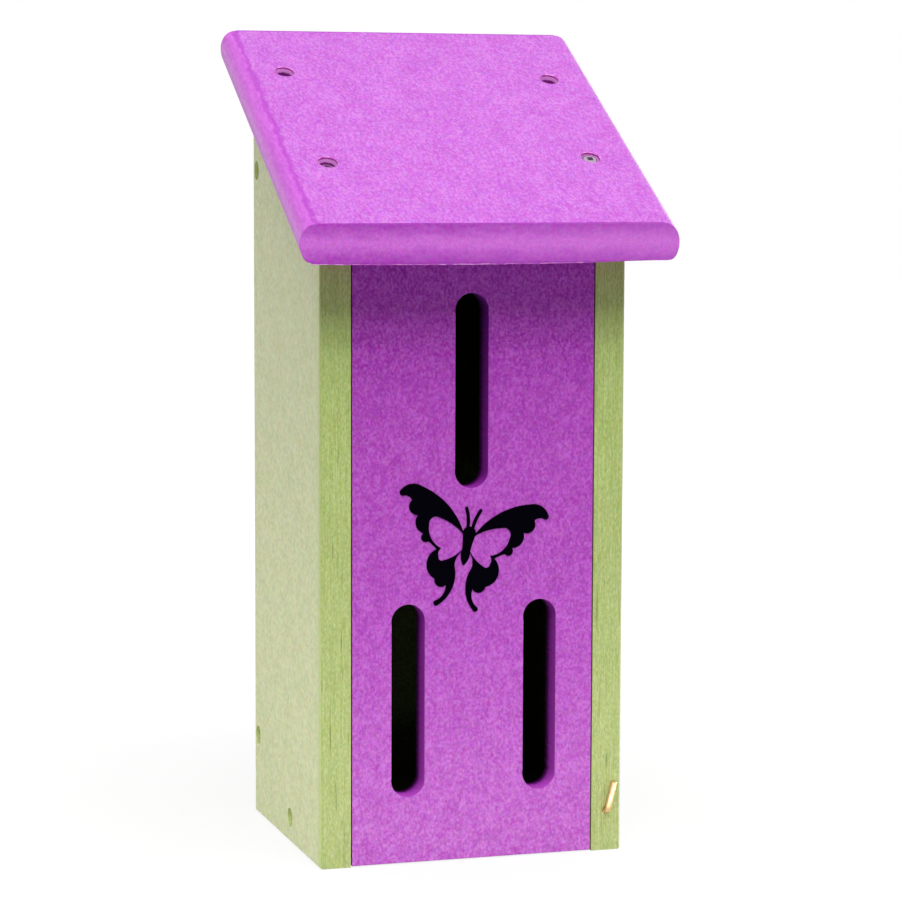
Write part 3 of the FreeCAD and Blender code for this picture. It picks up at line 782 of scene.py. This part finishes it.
for way in (-1, 1):
    pick(roof, "FACE", lambda face: face.normal.y * way > SQUARE_ON and face.calc_area() > END_AREA)
    bpy.ops.mesh.inset(thickness=BURR_WIDTH, depth=-BURR_HEIGHT)
    close_edit()
for way, lift in LIPS:
    pick(roof, "FACE", lambda face: is_lip_row(face, way, lift))
    draw_out((0, 0, lift))
    bpy.ops.transform.resize(value=(LIP_TAPER, 1, 1), center_override=(0, 0, 0))
    close_edit()
pick(roof, "EDGE", is_hanging_edge)
bpy.ops.mesh.subdivide(number_cuts=TATTER_CUTS)
close_edit()
for vertex in roof.data.vertices:
    if is_under_front(vertex):
        vertex.co.z -= hang_at(vertex.co.x)
pick(roof, "FACE", is_hanging_face)
draw_out((0, 0, 0))
close_edit()
for vertex in roof.data.vertices:
    if vertex.select:
        fade = (TATTER_END - vertex.co.x) / TATTER_FADE
        vertex.co.z -= TATTER_STRIP * min(1, max(TATTER_LEAST, fade))
for across, up, recess in ROOF_SCREWS.values():
    mouth = ROOF_TOP + Vector((across, 0, 0)) + UP_SLOPE * up
    bore_recess(roof, mouth, -OFF_SLOPE, recess)
    drill(roof, mouth, -OFF_SLOPE, SHANK_RADIUS, SHANK_RADIUS, ROOF_THICKNESS + OVERCUT)
    wide = RECESS_RADIUS + RIM_WIDTH + OVERCUT
    drill(roof, mouth, -OFF_SLOPE, wide, RECESS_RADIUS - ARRIS, RIM_WIDTH + ARRIS)
shade(roof)


def is_roof_end(face):
    return from_roof_end(face) < END_SKIN and abs(face.normal.y) > CUT_FACING


def is_drilled(face):
    middle = face.calc_center_median() - ROOF_TOP
    depth = -middle.dot(OFF_SLOPE)
    for across, up, recess in ROOF_SCREWS.values():
        aside = math.hypot(middle.x - across, middle.dot(UP_SLOPE) - up)
        if aside < RECESS_RADIUS + RIM_WIDTH + ARRIS and HAIR < depth < recess + ARRIS:
            return True
    return False


def is_burr(face):
    """Drawn out by the saw beyond the board's faces, or raised by the drill round a recess."""
    middle = face.calc_center_median()
    height = (middle - EAVE).dot(OFF_SLOPE)
    if is_drilled(face):
        return ROOF_THICKNESS - height < RIM_WIDTH
    if max(-height, height - ROOF_THICKNESS) < HAIR:
        return False
    if middle.y < 0:
        return middle.z < ROOF_FRONT_FOOT - ARRIS / 2 - hang_at(middle.x)
    return abs(face.normal.z) > BURR_FACING


def is_milled(face):
    """Long edges, though on the right the skin laps over the top of the round."""
    across = face.calc_center_median().x
    under = face.normal.dot(OFF_SLOPE) < 0
    skin_reach = FLAT_HALF_WIDTH if across < 0 or under else FLAT_HALF_WIDTH + SKIN_WRAP
    return abs(across) > skin_reach


lay_finish(
    roof,
    roof_skin,
    (milled_edge, is_milled),
    (roof_end, is_roof_end),
    (drilled_wall_shading, is_drilled),
    (burr, is_burr),
)
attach(roof, "house")
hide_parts("roof_panel")


# Screws: stainless pan heads with a square drive, sunk in drilled recesses.
# Four hold the roof, square to its slope and driven to different depths, four hold the back
# panel and two the floor; two more go loosely through the sides as the door's pivots.
HEAD_RADIUS = 0.004
HEAD_HEIGHT = 0.0028
HEAD_ROUND = 0.0012
HEAD_SINK = 0.0005
SCREW_LENGTH = 0.032
CORE_RADIUS = 0.0014
CORE_STEPS = 32
POINT_LENGTH = 0.005
POINT_TAPER = 0.08
THREAD_RADIUS = 0.0021
THREAD_PITCH = 0.0018
THREAD_STEPS = 24
THREAD_RUN_OUT = 0.004
DRIVE_WIDTH = 0.003
DRIVE_DEPTH = 0.0018
DRIVE_STEP = math.radians(37)
DRIVE_START = -1
PIVOT_HEAD_GAP = 0.0003
HANDS = (("left", -1), ("right", 1))

steel, tree, shader = start_finish("stainless_steel", roughness=0.35)
shader.inputs["Metallic"].default_value = 1.0
lathe_marks = add_noise(tree, add_place(tree), scale=2600, detail=3.0)
# The steel's lilac tint is a painted reflection of the purple boards round the heads.
colour_by(tree, shader, lathe_marks, ((0.3, paint(174, 160, 174)), (0.7, paint(210, 196, 210))))
roughen_by(tree, shader, lathe_marks, 0.28, 0.42)
add_relief(tree, shader, lathe_marks, depth=0.00005, strength=0.25)


def make_screw():
    """One screw with its head seated at the origin and its point straight down."""
    bpy.ops.mesh.primitive_cylinder_add(
        vertices=ROUND_STEPS, radius=HEAD_RADIUS, depth=HEAD_HEIGHT, location=(0, 0, HEAD_HEIGHT / 2)
    )
    screw = bpy.context.object
    settle()
    round_over(
        screw,
        lambda edge: all(vertex.co.z > HEAD_HEIGHT - TOUCH for vertex in edge.verts),
        HEAD_ROUND,
        CORNER_STEPS,
    )
    half_drive = DRIVE_WIDTH / 2
    drive = start_board(
        "drive",
        Vector((-half_drive, -half_drive, HEAD_HEIGHT - DRIVE_DEPTH)),
        Vector((half_drive, half_drive, HEAD_HEIGHT + DRIVE_DEPTH)),
    )
    combine(screw, drive, "DIFFERENCE")

    # The core runs from inside the head to the point, and the thread is wound round it.
    core_length = SCREW_LENGTH - POINT_LENGTH
    bpy.ops.mesh.primitive_cylinder_add(
        vertices=CORE_STEPS,
        radius=CORE_RADIUS,
        depth=core_length + HEAD_SINK,
        location=(0, 0, (HEAD_SINK - core_length) / 2),
    )
    core = bpy.context.object
    settle()
    pick(core, "FACE", lambda face: face.normal.z < -SQUARE_ON)
    draw_out((0, 0, -POINT_LENGTH))
    bpy.ops.transform.resize(value=(POINT_TAPER, POINT_TAPER, 1), center_override=(0, 0, -SCREW_LENGTH))
    close_edit()
    bpy.ops.mesh.primitive_circle_add(
        vertices=3,
        radius=THREAD_RADIUS - CORE_RADIUS,
        rotation=(math.pi / 2, math.pi / 2, 0),
        location=(CORE_RADIUS, 0, -core_length),
    )
    thread = bpy.context.object
    settle()
    winding = thread.modifiers.new("winding", "SCREW")
    winding.axis = "Z"
    winding.screw_offset = THREAD_PITCH
    winding.iterations = round((core_length - THREAD_RUN_OUT) / THREAD_PITCH)
    winding.steps = winding.render_steps = THREAD_STEPS
    apply_modifier(thread, winding)
    pick(thread, "EDGE", lambda edge: True)
    bpy.ops.mesh.fill_holes(sides=3)
    bpy.ops.mesh.normals_make_consistent(inside=False)
    close_edit()
    combine(screw, core, "UNION")
    combine(screw, thread, "UNION")
    smooth(screw, SMOOTH_ANGLE)
    screw.data.materials.clear()
    screw.data.materials.append(steel)
    return screw


def set_screw(pattern, node, body, seat, outward, twist):
    """Copy the screw to its seat, with its drive turned as the last twist left it."""
    bpy.ops.object.select_all(action="DESELECT")
    screw = pattern.copy()
    screw.data = pattern.data.copy()
    screw.name = node.replace("_screw", "_pan_screw")
    bpy.context.collection.objects.link(screw)
    screw.select_set(True)
    bpy.context.view_layer.objects.active = screw
    aim = PLUMB.rotation_difference(outward).to_matrix()
    screw.rotation_euler = (aim @ Matrix.Rotation(twist, 3, "Z")).to_euler()
    screw.location = seat
    settle()
    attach(screw, body)
    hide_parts(node)


screw_seats = []
for node, (across, up, recess) in ROOF_SCREWS.items():
    seat = EAVE + Vector((across, 0, 0)) + UP_SLOPE * up + OFF_SLOPE * (ROOF_THICKNESS - recess)
    screw_seats.append((node, "house", seat, OFF_SLOPE))
for kind, (y, z) in SIDE_SCREWS.items():
    body, lift = ("door", PIVOT_HEAD_GAP) if kind == "pivot_screw" else ("house", 0)
    for side, hand in HANDS:
        seat = Vector((hand * (RIGHT_HIGH.x - SIDE_RECESS + lift), y, z))
        screw_seats.append((f"{kind}_{side}", body, seat, Vector((hand, 0, 0))))
pattern_screw = make_screw()
for number, (node, body, seat, outward) in enumerate(screw_seats, start=DRIVE_START):
    set_screw(pattern_screw, node, body, seat, outward, number * DRIVE_STEP)
bpy.data.objects.remove(pattern_screw)


# Front door: a purple board that fills the front between the sides and swings out at its foot.
# Three upright slots let butterflies in: their round ends are drilled and the straight part is
# routed between them, so a faint step shows where the two meet.
DOOR_LOW, DOOR_HIGH = (Vector(corner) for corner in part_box("front_door"))
DOOR_THICKNESS = DOOR_HIGH.y - DOOR_LOW.y
DOOR_TURN = (-math.pi / 2, 0, 0)
DOOR_FACE = Vector((0, DOOR_LOW.y, 0))
SLOT_RADIUS = 0.00875
SLOT_LENGTH = 0.098
SLOT_PLACES = ((-0.0013, 0.2390), (-0.03425, 0.0832), (0.03525, 0.0832))
ROUTER_SHORT = 0.0001
PIVOT_Y, PIVOT_Z = SIDE_SCREWS["pivot_screw"]
PIVOT_BORE_DEPTH = 0.0231

# The door carries painted shade: it is palest at its foot and deepest under the eave, where its flecks
# also stand out more.
DOOR_STRETCH = (1, 1, 1.25)
DOOR_EAVE_SHADE = (
    (0.06, (1.0, 1.0, 1.0)),
    (0.2, (0.95, 0.82, 0.97)),
    (0.36, (0.93, 0.69, 0.97)),
    (0.66, (0.96, 0.69, 1.0)),
    (0.86, (0.90, 0.44, 0.97)),
    (1.0, (0.88, 0.40, 0.96)),
)
EAVE_SHADOW = (0.74 * EAVE.z, 0.9 * EAVE.z)
EAVE_SHADOW_SHARE = 0.12
door_skin = mottled_skin(
    "purple_door_skin", (paint(174, 72, 184), paint(192, 95, 200), paint(208, 121, 217)), DOOR_STRETCH
)
tree, shader = open_finish(door_skin)
shade_by_height(tree, shader, DOOR_EAVE_SHADE)
height = add_axis(tree, add_place(tree), "Z")
under_eave = add_range(tree, height, EAVE_SHADOW, (0, EAVE_SHADOW_SHARE))
lay_over(tree, shader, under_eave, add_flecks(tree, add_place(tree, DOOR_STRETCH)), "LINEAR_LIGHT")

door_cut = sawn_core(
    "purple_door_cut", paint(132, 24, 150), paint(158, 46, 176), DOOR_THICKNESS, DOOR_TURN, DOOR_FACE
)

# The walls of the slots carry painted shade: they darken towards the inside of the house, and up towards
# the eave.
ROUTED_SHADE_TONES = (
    (0.0, paint(200, 84, 211)),
    (0.3, paint(200, 82, 211)),
    (0.55, paint(190, 70, 204)),
    (0.8, paint(84, 10, 96)),
    (1.0, paint(14, 1, 18)),
)
SLOT_EAVE_SHADE = (
    (0.1, (1.0, 1.0, 1.0)),
    (0.26, (0.80, 0.64, 0.82)),
    (0.64, (0.60, 0.34, 0.64)),
    (0.88, (0.36, 0.14, 0.48)),
)
CHATTER = 0.0008
routed_wall_shading, tree, shader = start_finish("purple_routed_wall_painted_shade", roughness=0.5)
height = add_axis(tree, add_place(tree, turn=DOOR_TURN, shift=DOOR_FACE), "Z")
chatter = add_noise(tree, add_place(tree, (1, 8, 1)), scale=900, detail=2.0)
depth = add_sway(tree, height, chatter, CHATTER)
colour_by(tree, shader, add_range(tree, depth, (0, DOOR_THICKNESS), (0, 1)), ROUTED_SHADE_TONES)
shade_by_height(tree, shader, SLOT_EAVE_SHADE)
roughen_by(tree, shader, chatter, 0.45, 0.62)
add_relief(tree, shader, chatter, depth=0.0001, strength=0.3)


def is_cut(face):
    return abs(face.normal.y) < CUT_FACING


def is_routed(face):
    middle = face.calc_center_median()
    in_slot = any(
        abs(middle.x - x) < SLOT_RADIUS + ARRIS and abs(middle.z - z) < SLOT_LENGTH / 2 + ARRIS
        for x, z in SLOT_PLACES
    )
    return in_slot and is_cut(face)


door = start_board("door", DOOR_LOW, DOOR_HIGH)
for x, z in SLOT_PLACES:
    reach = SLOT_LENGTH / 2 - SLOT_RADIUS
    for end_z in (z - reach, z + reach):
        mouth = Vector((x, DOOR_LOW.y, end_z))
        drill(door, mouth, Vector((0, 1, 0)), SLOT_RADIUS, SLOT_RADIUS, DOOR_THICKNESS + OVERCUT)
    half_route = Vector((SLOT_RADIUS - ROUTER_SHORT, DOOR_THICKNESS / 2 + OVERCUT, reach))
    centre = Vector((x + ROUTER_SHORT / 2, (DOOR_LOW.y + DOOR_HIGH.y) / 2, z))
    combine(door, start_board("router", centre - half_route, centre + half_route), "DIFFERENCE")
for hand, edge_x in ((-1, DOOR_LOW.x), (1, DOOR_HIGH.x)):
    mouth = Vector((edge_x, PIVOT_Y, PIVOT_Z))
    drill(door, mouth, Vector((-hand, 0, 0)), SHANK_RADIUS, SHANK_RADIUS, PIVOT_BORE_DEPTH)
ease_edges(door)
shade(door)
lay_finish(door, door_skin, (door_cut, is_cut), (routed_wall_shading, is_routed))
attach(door, "door")
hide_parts("front_door")


# Butterfly figure: a thin black butterfly on the middle of the door, tilted as if in flight.
# It is cut from matt film and lies flat on the board, with the purple showing through its wings.
FILM_SHINE = 0.01

film, tree, shader = start_finish("matt_black_film", roughness=0.6)
grain = add_noise(tree, add_place(tree), scale=1400, detail=3.0)
colour_by(tree, shader, grain, ((0.3, paint(2, 1, 6)), (0.7, paint(6, 4, 12))))
roughen_by(tree, shader, grain, 0.55, 0.75)
shader.inputs["Specular IOR Level"].default_value = FILM_SHINE
add_relief(tree, shader, grain, depth=0.00005, strength=0.3)
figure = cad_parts["butterfly_figure"]
for slot in figure.material_slots:
    slot.material = film


# Latch pin: a length of drawn brass rod bent square by hand, cut with nippers at the arm's end.
# Its leg turns in a hole in the right side's front edge, and its arm swings across the door's
# corner to keep it shut.
ROD_RADIUS = 0.0016
ROD_STEPS = 32
LEG_DEPTH = 0.028
BEND_RADIUS = 0.0032
BEND_STEPS = 12
STANDOFF = 0.0008
ARM_LENGTH = 0.016
ARM_LEAN = math.radians(13)
TIP_BEVEL = 0.0004
TIP_STEPS = 3
TIP_SKEW = math.radians(6)
ROD_SMOOTH_ANGLE = math.radians(50)

brass, tree, shader = start_finish("drawn_brass", roughness=0.25)
shader.inputs["Metallic"].default_value = 1.0
drawing = add_noise(tree, add_place(tree, (1, 1, 25), (0, ARM_LEAN, 0)), scale=3800, detail=2.0)
tarnish = add_noise(tree, add_place(tree), scale=320, detail=3.0)
tint = add_blend(tree, drawing, tarnish, share=0.6)
brass_tones = ((0.3, paint(214, 170, 116)), (0.5, paint(238, 203, 152)), (0.7, paint(247, 222, 178)))
colour_by(tree, shader, tint, brass_tones)
roughen_by(tree, shader, tint, 0.42, 0.28)
add_relief(tree, shader, drawing, depth=0.00004, strength=0.3)

bpy.ops.mesh.primitive_circle_add(
    vertices=ROD_STEPS,
    radius=ROD_RADIUS,
    fill_type="NGON",
    location=(0, LEG_DEPTH, 0),
    rotation=(math.pi / 2, 0, 0),
)
latch = bpy.context.object
latch.name = "latch"
settle()
bend_start = BEND_RADIUS - STANDOFF - ROD_RADIUS
pick(latch, "FACE", lambda face: True)
draw_out((0, bend_start - LEG_DEPTH, 0))
bpy.ops.mesh.spin(steps=BEND_STEPS, angle=math.pi / 2, center=(0, bend_start, BEND_RADIUS), axis=(1, 0, 0))
draw_out((0, 0, ARM_LENGTH - BEND_RADIUS))
tip = Vector((0, -STANDOFF - ROD_RADIUS, ARM_LENGTH))
bpy.ops.transform.rotate(value=TIP_SKEW, orient_axis="Y", center_override=tip)
bpy.ops.mesh.select_all(action="SELECT")
bpy.ops.mesh.remove_doubles(threshold=TOUCH)
bpy.ops.mesh.normals_make_consistent(inside=False)
close_edit()
round_over(latch, lambda edge: any(len(face.verts) > 4 for face in edge.link_faces), TIP_BEVEL, TIP_STEPS)
smooth(latch, ROD_SMOOTH_ANGLE)
latch.rotation_euler = (0, ARM_LEAN, 0)
latch.location = LATCH_AXIS
settle()
lay_finish(latch, brass)
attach(latch, "latch")
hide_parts("latch_pin")


# Floor: a plain white studio sweep that the house stands on.
# It keeps the soft shadow at the foot of the house and is otherwise as white as the room.
FLOOR_SIZE = 12.0
FLOOR_DROP = 0.0002
FLOOR_SHADE = 0.15
WHITE_SPAN = (0.15, 0.7)
WHITE_SHARES = (0.86, 1.0)

bpy.ops.mesh.primitive_plane_add(size=FLOOR_SIZE, location=(0, 0, -FLOOR_DROP))
sweep = bpy.context.object
sweep.name = "studio_floor"
sweep_white, tree, shader = start_finish("studio_white", roughness=0.8)
shader.inputs["Base Color"].default_value = (FLOOR_SHADE, FLOOR_SHADE, FLOOR_SHADE, 1)
shader.inputs["Specular IOR Level"].default_value = 0.0
shader.inputs["Emission Color"].default_value = (1, 1, 1, 1)
ray = tree.nodes.new("ShaderNodeLightPath")
reach = tree.nodes.new("ShaderNodeVectorMath")
reach.operation = "LENGTH"
tree.links.new(add_place(tree), reach.inputs[0])
whiteness = add_range(tree, reach.outputs["Value"], WHITE_SPAN, WHITE_SHARES)
seen_ray = add_math(tree, "MAXIMUM", ray.outputs["Is Camera Ray"], ray.outputs["Is Glossy Ray"])
tree.links.new(add_math(tree, "MULTIPLY", seen_ray, whiteness), shader.inputs["Emission Strength"])
sweep.data.materials.append(sweep_white)


# Studio light: two wide soft boxes high in front, one behind each side, and strips on the floor.
# The strips stand for the white card round the foot of the house, which lifts the lower boards.
# The room is white all round for the brass to mirror, and the high boxes leave no glare.
ROOM_LEVEL = 0.197
MIDDLE = (0.0, 0.0, 0.20)
STRIP_HEIGHT = 0.015
STRIP_TARGET = (0.0, 0.0, STRIP_HEIGHT)
STRIP_SIZE = (0.5, 0.02)
HIGH_BOXES = ("overhead_box", "front_box")

# Each lamp has a name, a place, a target, a width and height, and a power in watts.
studio_lamps = [
    ("overhead_box", (0.0, -0.75, 1.65), (0.0, -0.10, 0.25), (1.6, 0.6), 15.8),
    ("front_box", (0.0, -1.15, 1.45), MIDDLE, (1.6, 0.5), 10.2),
    ("front_strip", (0.0, -0.245, STRIP_HEIGHT), STRIP_TARGET, STRIP_SIZE, 0.30),
]
for side, hand in HANDS:
    studio_lamps += [
        (f"{side}_back_box", (hand * 1.3, 1.2, 0.5), MIDDLE, (1.0, 0.9), 8.4),
        (f"{side}_strip", (hand * 0.38, 0.0, STRIP_HEIGHT), STRIP_TARGET, STRIP_SIZE, 0.43),
    ]

for name, place, target, size, power in studio_lamps:
    glow = bpy.data.lights.new(name, "AREA")
    glow.shape = "RECTANGLE"
    glow.size, glow.size_y = size
    glow.energy = power
    lamp = bpy.data.objects.new(name, glow)
    lamp.location = place
    lamp.rotation_euler = (Vector(target) - Vector(place)).to_track_quat("-Z", "Y").to_euler()
    lamp.visible_camera = False
    lamp.visible_glossy = name not in HIGH_BOXES
    bpy.context.collection.objects.link(lamp)

scene = bpy.context.scene
room = bpy.data.worlds.new("white_room")
room.use_nodes = True
tree = room.node_tree
tree.nodes.clear()
output = tree.nodes.new("ShaderNodeOutputWorld")
lit = tree.nodes.new("ShaderNodeBackground")
lit.inputs["Strength"].default_value = ROOM_LEVEL
seen = tree.nodes.new("ShaderNodeBackground")
for background in (lit, seen):
    background.inputs["Color"].default_value = (1, 1, 1, 1)
choice = tree.nodes.new("ShaderNodeMixShader")
ray = tree.nodes.new("ShaderNodeLightPath")
mirrored = add_math(tree, "MAXIMUM", ray.outputs["Is Glossy Ray"], ray.outputs["Is Transmission Ray"])
tree.links.new(add_math(tree, "MAXIMUM", ray.outputs["Is Camera Ray"], mirrored), choice.inputs["Fac"])
tree.links.new(lit.outputs["Background"], choice.inputs[1])
tree.links.new(seen.outputs["Background"], choice.inputs[2])
tree.links.new(choice.outputs["Shader"], output.inputs["Surface"])
scene.world = room
scene.view_settings.view_transform = "Standard"


# Camera: a long lens a step and a half in front, a little to the left and above the middle.
# Its place, turn and lens were worked out from the straight edges of the house in the photograph.
CAMERA_PLACE = (-0.4468, -1.4635, 0.3610)
CAMERA_YAW = math.radians(17.131)
CAMERA_PITCH = math.radians(5.868)
CAMERA_ROLL = math.radians(0.193)
SENSOR_WIDTH = 36.0
FOCAL_PIXELS = 2961.5
FRAME_PIXELS = 900

ahead = Vector((
    math.sin(CAMERA_YAW) * math.cos(CAMERA_PITCH),
    math.cos(CAMERA_YAW) * math.cos(CAMERA_PITCH),
    -math.sin(CAMERA_PITCH),
))
level = Vector((math.cos(CAMERA_YAW), -math.sin(CAMERA_YAW), 0))
upright = level.cross(ahead)
right = level * math.cos(CAMERA_ROLL) + upright * math.sin(CAMERA_ROLL)
up = upright * math.cos(CAMERA_ROLL) - level * math.sin(CAMERA_ROLL)
camera = bpy.data.objects.new("camera", bpy.data.cameras.new("camera"))
camera.data.sensor_width = SENSOR_WIDTH
camera.data.lens = SENSOR_WIDTH * FOCAL_PIXELS / FRAME_PIXELS
camera.matrix_world = Matrix.Translation(CAMERA_PLACE) @ Matrix((right, up, -ahead)).transposed().to_4x4()
bpy.context.collection.objects.link(camera)
scene.camera = camera

bpy.context.view_layer.update()
